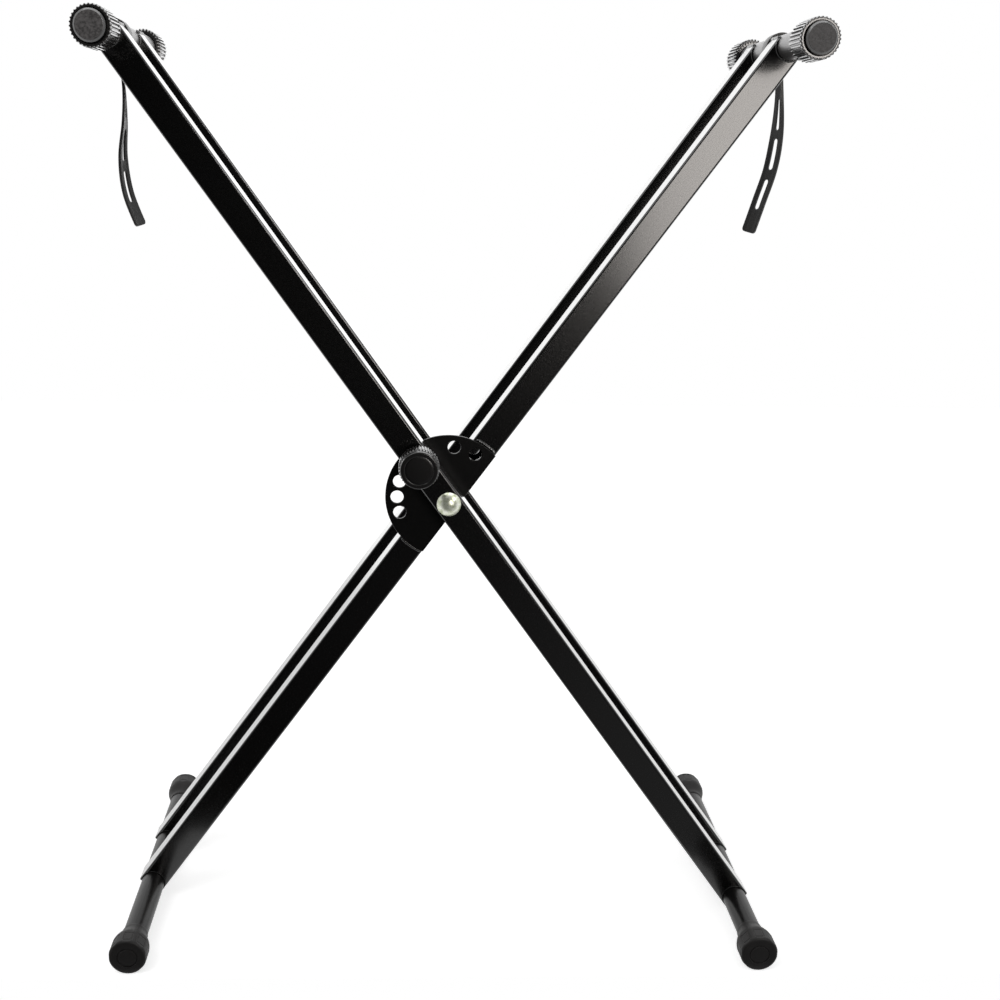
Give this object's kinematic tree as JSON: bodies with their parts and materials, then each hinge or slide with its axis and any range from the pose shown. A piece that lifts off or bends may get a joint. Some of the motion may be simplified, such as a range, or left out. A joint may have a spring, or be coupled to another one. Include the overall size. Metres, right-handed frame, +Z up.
{
  "type": "folding keyboard stand",
  "caption": "Double-braced X-shaped folding stand of square tube with cross tubes, ribbed end caps, rubber feet, a pivot bolt, a height lock and hanging retaining straps.",
  "frame": {"origin": "on the floor, midway between the four feet (centre of the bounding box's bottom)", "axes": "+Z up; -Y is the front, where the knob and the bolt head are; +X to the right seen from the front"},
  "size_m": [0.605, 0.325, 0.8239],
  "materials": {
    "black_paint": "gloss black powder coat on steel tube and plate",
    "cap_plastic": "fine-grained black moulded plastic",
    "foot_rubber": "satin black rubber",
    "strap_rubber": "satin black moulded rubber",
    "zinc_plate": "bright zinc plate with a slight yellow-green tint",
    "bright_steel": "turned bright steel",
    "knob_plastic": "satin black moulded plastic",
    "nylon": "black nylon"
  },
  "bodies": {
    "pair_a": {"arm_a_front_tube": "black_paint", "arm_a_rear_tube": "black_paint", "head_tube_a": "black_paint", "foot_tube_a": "black_paint", "head_cap_a_front": "cap_plastic", "head_cap_a_rear": "cap_plastic", "foot_cap_a_front": "foot_rubber", "foot_cap_a_rear": "foot_rubber", "lock_disc": "black_paint", "pivot_bush_front": "nylon", "pivot_bush_rear": "nylon"},
    "pair_b": {"arm_b_front_tube": "black_paint", "arm_b_rear_tube": "black_paint", "head_tube_b": "black_paint", "foot_tube_b": "black_paint", "head_cap_b_front": "cap_plastic", "head_cap_b_rear": "cap_plastic", "foot_cap_b_front": "foot_rubber", "foot_cap_b_rear": "foot_rubber", "pivot_bolt": "zinc_plate", "pivot_nut": "zinc_plate", "front_washer": "nylon", "middle_washer": "nylon", "nut_washer": "zinc_plate", "pivot_spacer": "black_paint", "lock_housing": "bright_steel"},
    "pull_pin": {"lock_pin": "bright_steel", "lock_spring": "bright_steel", "lock_knob": "knob_plastic", "lock_knob_cap": "knob_plastic"},
    "strap_right": {"strap_a": "strap_rubber"},
    "strap_left": {"strap_b": "strap_rubber"}
  },
  "joints": [
    {"name": "fold", "type": "hinge", "parent": "pair_a", "child": "pair_b", "pos_m": [0, 0, 0.41376], "axis": [0, 1, 0], "range_deg": [-73.2, 67]},
    {"name": "lock_pull", "type": "slide", "parent": "pair_b", "child": "pull_pin", "axis": [0, -1, 0], "range_m": [-0.005, 0.0025], "stiffness_N_per_m": 1200, "springref_m": -0.008, "deforming": ["lock_spring"]},
    {"name": "strap_right_swing", "type": "hinge", "parent": "pair_a", "child": "strap_right", "pos_m": [0.28336, 0, 0.80738], "axis": [0, 1, 0], "range_deg": [-90, 20]},
    {"name": "strap_left_swing", "type": "hinge", "parent": "pair_b", "child": "strap_left", "pos_m": [-0.28336, 0, 0.80738], "axis": [0, 1, 0], "range_deg": [-20, 90]}
  ]
}
